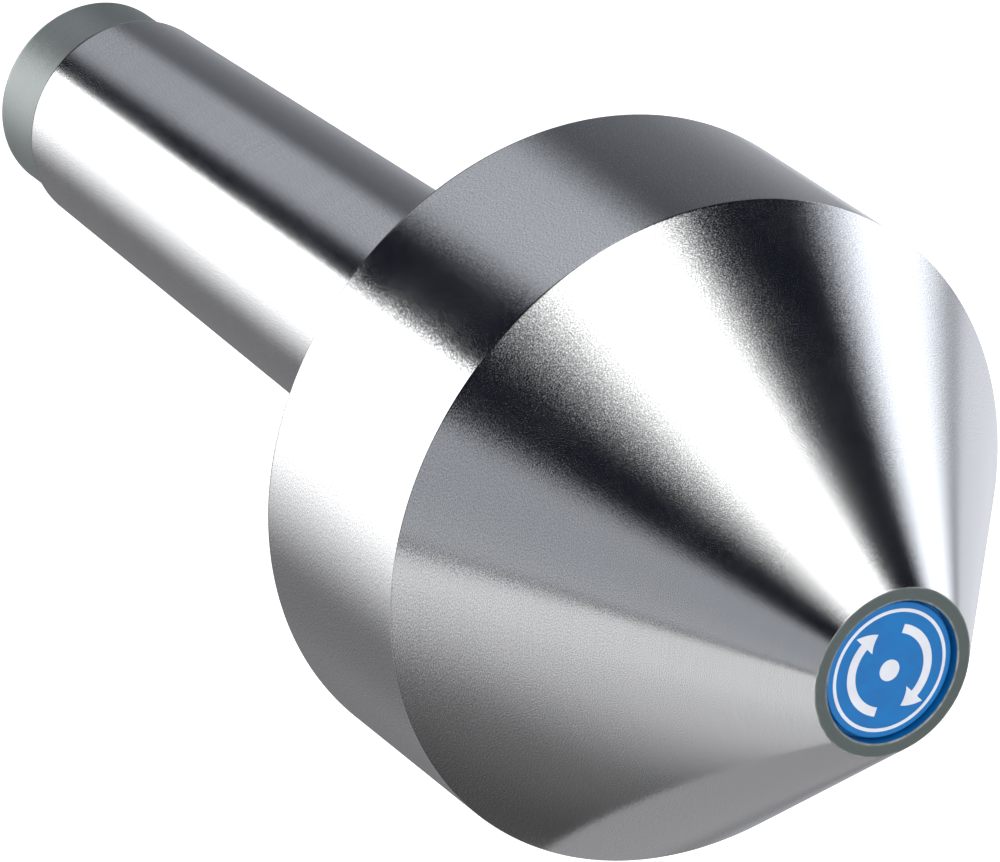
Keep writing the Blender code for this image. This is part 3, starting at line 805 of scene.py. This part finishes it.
# %% Outlines with a ball groove
GROOVE_POINTS = 17
FINE_EDGE, RING_EDGE = 0.2, 0.6
bearing_steel = steel("bearing_steel", (0.74, 0.74, 0.75), 0.08, around=1.0, along=14.0, tilt=0.5,
                      streaks=0.7, contrast=0.04, film=0.06, spread=0.3)
ball_steel = steel("polished_ball_steel", (0.80, 0.80, 0.81), 0.035, around=2.0, along=2.0, tilt=0.12,
                   streaks=0.0, contrast=0.01, film=0.05)


def ball_facts(prefix):
    """Place along the axis, pitch radius and ball radius of a bearing in millimetres, from its first ball."""
    low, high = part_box(f"{prefix}_ball_1")
    middle = (low + high) / 2
    return middle.x / MM, np.hypot(middle.y, middle.z) / MM, (high.x - low.x) / 2 / MM


def groove(half, curve):
    """Places of a groove's arc between its lands: (curve sin a, curve cos a), with a from half to -half."""
    a = np.linspace(half, -half, GROOVE_POINTS)
    return curve * np.sin(a), curve * np.cos(a)


def ring_pair(prefix, bore):
    """Inner ring on the spindle and outer ring in the head, each with its groove for the balls."""
    x, pitch, ball = ball_facts(prefix)
    back, front, land = span(f"{prefix}_inner_ring")
    _, _, outside = span(f"{prefix}_outer_ring")
    curve = ball + GAP
    across, deep = groove(np.arccos((pitch - land) / curve), curve)
    inner = turned(f"{prefix}_bearing_inner", [
        (front, land, FINE_EDGE), *zip(x + across, pitch - deep), (back, land, FINE_EDGE),
        (back, bore, RING_EDGE), (front, bore, RING_EDGE),
    ])
    outer_land = 2 * pitch - land
    outer = turned(f"{prefix}_bearing_outer", [
        (front, outside, RING_EDGE), (back, outside, RING_EDGE),
        (back, outer_land, FINE_EDGE), *zip(x + across[::-1], pitch + deep[::-1]),
        (front, outer_land, FINE_EDGE),
    ])
    stand_for(inner, f"{prefix}_inner_ring", "shank", "bearing_steel", bearing_steel)
    stand_for(outer, f"{prefix}_outer_ring", "head", "bearing_steel", bearing_steel)


# %% Turn the rings and washers
WASHER_BORE_PLAY = 0.5
WASHER_EDGE, RACE_EDGE = 0.5, 0.3


def washer(piece_name, node, body, side, bore):
    """A thrust washer, whose groove faces the shank where side is 1 and the nose where side is -1."""
    x, pitch, ball = ball_facts("thrust")
    back, front, outside = span(node)
    face = back if side > 0 else front
    curve = ball + GAP
    across, deep = groove(np.arccos(abs(face - x) / curve), curve)
    race = list(zip(x + side * deep, pitch + across))
    if side > 0:
        corners = [
            (front, outside, WASHER_EDGE), (back, outside, RACE_EDGE), *race,
            (back, bore, RACE_EDGE), (front, bore, WASHER_EDGE),
        ]
    else:
        corners = [
            (front, outside, RACE_EDGE), (back, outside, WASHER_EDGE),
            (back, bore, WASHER_EDGE), (front, bore, RACE_EDGE), *race[::-1],
        ]
    stand_for(turned(piece_name, corners), node, body, "bearing_steel", bearing_steel)


ring_pair("rear", REAR_BORE)
ring_pair("front", FRONT_BORE)
washer("thrust_washer_head", "thrust_housing_washer", "head", 1, REAR_BORE + WASHER_BORE_PLAY)
washer("thrust_washer_spindle", "thrust_shaft_washer", "shank", -1, REAR_BORE)

# %% [markdown]
# ## The balls
# Bearing balls are lapped until they are round to a fraction of a thousandth, so each is a true sphere with
# a mirror finish. Blender has a sphere primitive, but the same grid as everything else gives the ball its
# map and puts it straight into the frame's place.

# %% Make the balls
BALL_COLUMNS, BALL_ROWS = 48, 25


def ball(name, node, body):
    """A sphere about the centre of its node: P(s, t) = c + R (cos s, sin s sin t, sin s cos t)."""
    low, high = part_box(node)
    middle = np.array((low + high) / 2)
    radius = (high.x - low.x) / 2
    s = np.linspace(0, np.pi, BALL_ROWS)[:, None]
    t = np.linspace(0, 2 * np.pi, BALL_COLUMNS + 1)[None, :]
    shell = np.stack(np.broadcast_arrays(np.cos(s), np.sin(s) * np.sin(t), np.sin(s) * np.cos(t)), axis=-1)
    uv = np.stack(np.broadcast_arrays(t, s), axis=-1) * radius / MM
    piece = grid_object(name, middle + radius * shell, uv, np.zeros(shell.shape[:2]))
    stand_for(piece, node, body, "bearing_steel", ball_steel)


for prefix in ("rear", "thrust", "front"):
    for node in sorted(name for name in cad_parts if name.startswith(f"{prefix}_ball_")):
        ball(node.replace("ball", "steel_ball"), node, f"{prefix}_cage_set")

# %% [markdown]
# ## The cages
# A cage keeps the balls of a bearing apart and leads them round at about half the speed of the head. These
# are machined from brass: a plain ring, then one round pocket for each ball, drilled across the ring or, in
# the thrust bearing, along the axis. Brass is a yellow metal, and it dulls to brown where the film lies.

# %% Turn the cages and drill their pockets
cage_brass = steel("machined_brass", (0.72, 0.50, 0.20), 0.26, around=1.2, along=8.0, tilt=1.6, streaks=0.7,
                   contrast=0.10, film=0.14, worn=0.5, worn_color=(0.86, 0.66, 0.32, 1.0), spread=0.4)
POCKET_REACH, CAGE_TURNS = 3.0, 192


def count_of(prefix):
    """How many balls a bearing of the frame has."""
    return sum(name.startswith(f"{prefix}_ball_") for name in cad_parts)


def radial_cage(prefix):
    """A thin ring about the pitch circle, whose pockets run out from the axis."""
    x, pitch, ball_radius = ball_facts(prefix)
    back, front, outside = span(f"{prefix}_cage")
    inside = 2 * pitch - outside
    cage = turned(f"{prefix}_brass_cage", ring(front, back, inside, outside, FINE_EDGE), turns=CAGE_TURNS)
    outwards = Matrix.Translation((x * MM, 0, 0)) @ Matrix.Rotation(-np.pi / 2, 4, "Y")
    places = [outwards @ Matrix.Rotation(np.radians(turn), 4, "Z") for turn in all_round(count_of(prefix))]
    drill(cage, rod(pitch + POCKET_REACH, pitch - POCKET_REACH, ball_radius + GAP), places)
    stand_for(cage, f"{prefix}_cage", f"{prefix}_cage_set", "cage_brass", cage_brass)


def thrust_cage():
    """A flat ring between the washers, whose pockets run along the axis."""
    x, pitch, ball_radius = ball_facts("thrust")
    back, front, outside = span("thrust_cage")
    inside = REAR_BORE + WASHER_BORE_PLAY
    cage = turned("thrust_brass_cage", ring(front, back, inside, outside, FINE_EDGE), turns=CAGE_TURNS)
    places = beside_axis(pitch, all_round(count_of("thrust")))
    drill(cage, rod(front + CLEAR, back - CLEAR, ball_radius + GAP), places)
    stand_for(cage, "thrust_cage", "thrust_cage_set", "cage_brass", cage_brass)


radial_cage("rear")
thrust_cage()
radial_cage("front")

# %% [markdown]
# ## The circlip and the plug
# A circlip snaps into a groove near the end of the spindle and keeps the front bearing on it. It is an open
# ring that grows into a lug on both sides of the gap, with a hole in each for the pliers: a flat section
# carried around the axis, whose outer radius depends on the angle. Behind the label a screw plug closes the
# grease bore. It has a cut thread, and its hexagon socket is a drill with six sides.

# %% Bend the circlip
CLIP_OUTSIDE, LUG_OUTSIDE = 7.2, 8.8
LUG_START, LUG_END, RING_START = 12.0, 34.0, 40.0
LUG_HOLE_CIRCLE, LUG_HOLE_RADIUS = 7.1, 0.75
CLIP_STEPS = 220

from_gap = np.linspace(LUG_START, 360 - LUG_START, CLIP_STEPS)
to_gap = np.minimum(from_gap, 360 - from_gap)
lug = np.clip((RING_START - to_gap) / (RING_START - LUG_END), 0, 1)
clip_rim = CLIP_OUTSIDE + (LUG_OUTSIDE - CLIP_OUTSIDE) * lug**2 * (3 - 2 * lug)
clip_rows = polar(CLIP_INSIDE, 180 + from_gap), polar(clip_rim, 180 + from_gap)
circlip = plate("spring_circlip", clip_back, clip_front, *clip_rows)
lug_middle = (LUG_START + LUG_END) / 2
lug_holes = beside_axis(LUG_HOLE_CIRCLE, np.array([180 - lug_middle, 180 + lug_middle]))
drill(circlip, rod(clip_front + CLEAR, clip_back - CLEAR, LUG_HOLE_RADIUS), lug_holes, turns=32)
stand_for(circlip, "spindle_circlip", "shank", "blackened_steel", black_steel)

# %% Cut the plug
PLUG_PITCH, PLUG_THREAD_DEPTH = 1.0, 0.5
SOCKET_RADIUS, SOCKET_DEPTH, HEXAGON = 2.9, 4.0, 6

plug_back, plug_front, plug_radius = span("nose_plug")
plug_thread = (plug_back, plug_front, PLUG_PITCH, PLUG_THREAD_DEPTH)
plug = turned("screw_plug", rod(plug_front, plug_back, plug_radius, 0.4), turns=96, thread=plug_thread)
drill(plug, [
    (plug_front + CLEAR, 0), (plug_front + CLEAR, SOCKET_RADIUS),
    (plug_front - SOCKET_DEPTH, SOCKET_RADIUS), (plug_front - SOCKET_DEPTH - CLEAR, 0),
], [Matrix.Identity(4)], turns=HEXAGON)
stand_for(plug, "nose_plug", "head", "blackened_steel", black_steel)

# %% [markdown]
# ## The studio
# Bare metal shows nothing but what stands around it. Every card below is a patch of a sphere about the
# object, between two azimuths and two elevations, whose glow fades towards its sides as a cloth-covered
# soft box does. The dark gaps between the cards matter as much as the cards, because they draw the black
# bands.
#
# An area light would be simpler, but it is evenly bright to its very edge, which looks hard in a
# reflection. The cards are also clear: each adds its glow to what lies behind it, so two of them can fade
# into each other.

# %% What a card is made of
CARD_DISTANCE = 3.0
CARD_STEPS = 40


def glowing_material(name, clear):
    """Gives off the colour of the attribute glow, and lets what lies behind it through where it is clear."""
    material = bpy.data.materials.new(name)
    material.use_nodes = True
    material.cycles.emission_sampling = "NONE"
    tree = material.node_tree
    tree.nodes.clear()
    glow = add(tree, "ShaderNodeAttribute", attribute_name="glow").outputs["Color"]
    shining = add(tree, "ShaderNodeEmission", {"Color": glow, "Strength": 1.0}).outputs[0]
    if clear:
        through = add(tree, "ShaderNodeBsdfTransparent").outputs[0]
        shining = add(tree, "ShaderNodeAddShader", {0: shining, 1: through}).outputs[0]
    add(tree, "ShaderNodeOutputMaterial", {0: shining})
    return material


def glow_object(name, places, level, tint, material):
    """A grid of places that glows with a level at each of them, seen by the metal but not by the camera."""
    mesh = bpy.data.meshes.new(name)
    mesh.from_pydata(places.reshape(-1, 3), [], grid_faces(*level.shape).tolist())
    colors = np.column_stack([level.reshape(-1, 1) * np.array(tint), np.ones(level.size)])
    attribute = mesh.attributes.new("glow", "FLOAT_COLOR", "POINT")
    attribute.data.foreach_set("color", colors.astype(np.float32).ravel())
    mesh.materials.append(material)
    made = bpy.data.objects.new(name, mesh)
    made.visible_camera = False
    made.visible_shadow = False
    bpy.context.scene.collection.objects.link(made)
    return made


# %% Cards on a sphere
clear_glow = glowing_material("clear_glow", True)
cards = []


def fade(value, low, high, soft_low, soft_high):
    """A smooth rise about low and a smooth fall about high, each as wide as its softness."""
    rise = np.clip((value - low) / soft_low + 0.5, 0, 1)
    fall = np.clip((high - value) / soft_high + 0.5, 0, 1)
    return rise**2 * (3 - 2 * rise) * fall**2 * (3 - 2 * fall)


def card(name, azimuths, elevations, soft, power, tint=(1.0, 1.0, 1.0)):
    """A glowing patch P(a, e) = distance * toward(a, e), which fades at its four sides.

    Each elevation is one number, or one for each azimuth where the side slopes. soft holds the fades in
    degrees at the low and high azimuth and the low and high elevation, centred on the sides, and power the
    brightness at the low and high elevation. Every card lies a hundredth of the distance further out than the
    last, so no two coincide.
    """
    azimuth = np.linspace(azimuths[0] - soft[0] / 2, azimuths[1] + soft[1] / 2, CARD_STEPS)
    low, high = [np.interp(azimuth, azimuths, np.broadcast_to(side, 2)) for side in elevations]
    up = np.linspace(0, 1, CARD_STEPS)[:, None]
    e = (low - soft[2] / 2) * (1 - up) + np.minimum(high + soft[3] / 2, 90) * up
    a = np.broadcast_to(azimuth, e.shape)
    brightness = power[0] + (power[1] - power[0]) * np.clip((e - low) / (high - low), 0, 1)
    level = brightness * fade(a, *azimuths, *soft[:2]) * fade(e, low, high, *soft[2:])
    distance = CARD_DISTANCE * (1 + (len(cards) + 1) / 100)
    cards.append(glow_object(name, toward(a, e) * distance, level, tint, clear_glow))


# %% Hang the cards
COOL = (0.94, 0.98, 1.05)
card("key_strip", (-76, -40), ((-10, -25), (13, 38)), (8, 8, 38, 5), (1.5, 2.6))
card("upper_back_fill", (-112, -77), (24, 72), (14, 10, 10, 12), (0.28, 1.0), COOL)
card("top_box", (48.5, 142), (42, 88), (30, 30, 10, 2), (1.9, 1.9))
card("back_strip", (166, 212), (-3.5, 25), (8, 10, 20, 24), (1.35, 1.9), COOL)
card("back_haze", (-146, -104), (-16, 33), (10, 14, 8, 10), (0.28, 0.08), COOL)
card("horizon", (-178, -141), (-35, -10), (8, 6, 16, 7), (0.60, 0.64), COOL)
card("low_horizon", (-141, -124), (-33, -16), (6, 8, 14, 6), (0.62, 0.62), COOL)
card("rear_low", (-180, -40), (-89, -42), (2, 20, 2, 10), (0.15, 0.13))
card("front_low", (-20, 58), (-40, -8.6), (10, 10, 10, 1), (0.60, 0.64))
card("front_dim", (-5, 44), (-6.2, 26.0), (10, 44, 1, 9), (0.35, 0.40), COOL)
card("nose_fill", (64, 112), (-26, 34), (10, 10, 10, 10), (3.0, 3.0))
print("cards:", len(cards))

# %% [markdown]
# ## The sheet under the nose
# A glowing sheet, standing for a grey card, lies just below the nose. Because it is so close, its reflection
# changes along the cone. Its glow is painted shade: dark at the back, where a real card would be shaded,
# and bright towards the nose. Its straight rear edge shows in the underside of the cone as a curved line.

# %% Lay the sheet
SHEET_X, SHEET_Y, SHEET_Z = (20.0, 115.0), (-175.0, -11.0), -45.0
# Painted shade: the glow levels of the sheet, dim at the back where the object would shade a card
SHEET_PAINTED_SHADE_X = (26.0, 38.0, 52.0, 72.0)
SHEET_PAINTED_SHADE = (0.08, 0.18, 0.55, 0.76)
sheet_x, sheet_y = np.meshgrid(np.linspace(*SHEET_X, CARD_STEPS), np.linspace(*SHEET_Y, CARD_STEPS))
sheet_places = np.stack([sheet_x, sheet_y, np.full_like(sheet_x, SHEET_Z)], axis=-1) * MM
# The sheet glows with painted shade along x; it is no lamp and is seen only in the metal
sheet_painted_shade = np.interp(sheet_x, SHEET_PAINTED_SHADE_X, SHEET_PAINTED_SHADE)
glow_object("painted_shade_sheet", sheet_places, sheet_painted_shade, (1.0, 1.0, 1.02), glowing_material("sheet_glow", False))

# %% [markdown]
# ## World and floor
# The world is a dim room: almost black above, and grey below the horizon, as a studio floor would be. Only
# the camera sees it as plain white. The floor is a pale sheet far below, since the center is held by its
# taper and doesn't stand on anything.

# %% Light the room and lay the floor
FLOOR_DEPTH, FLOOR_SIDE = 0.9, 12.0
world = bpy.data.worlds.new("studio")
bpy.context.scene.world = world
world.use_nodes = True
room = world.node_tree
room.nodes.clear()
direction = add(room, "ShaderNodeTexCoord").outputs["Generated"]
height = add(room, "ShaderNodeSeparateXYZ", {0: direction}).outputs[2]
upward = span_to(room, height, -0.5, 0.25, 0, 1, "SMOOTHSTEP")
ambient = mix_colors(room, upward, (0.20, 0.20, 0.21, 1), (0.010, 0.012, 0.018, 1))
to_camera = add(room, "ShaderNodeLightPath").outputs["Is Camera Ray"]
seen = mix_colors(room, to_camera, ambient, (1, 1, 1, 1))
shining = add(room, "ShaderNodeBackground", {0: seen, 1: 1.0}).outputs[0]
add(room, "ShaderNodeOutputWorld", {0: shining})

pale, pale_tree, pale_shader = principled("pale_floor")
wire(pale_tree, pale_shader, {
    "Base Color": (0.9, 0.9, 0.9, 1), "Roughness": 0.9,
    "Emission Color": (1, 1, 1, 1), "Emission Strength": 1.0,
})
side = np.linspace(-FLOOR_SIDE / 2, FLOOR_SIDE / 2, 2)
floor_x, floor_y = np.meshgrid(side, side)
floor_mesh = bpy.data.meshes.new("floor")
floor_places = np.stack([floor_x, floor_y, np.full((2, 2), -FLOOR_DEPTH)], axis=-1).reshape(-1, 3)
floor_mesh.from_pydata(floor_places, [], grid_faces(2, 2).tolist())
floor_mesh.materials.append(pale)
floor = bpy.data.objects.new("floor", floor_mesh)
floor.visible_glossy = False
floor.visible_diffuse = False
floor.visible_shadow = False
bpy.context.scene.collection.objects.link(floor)
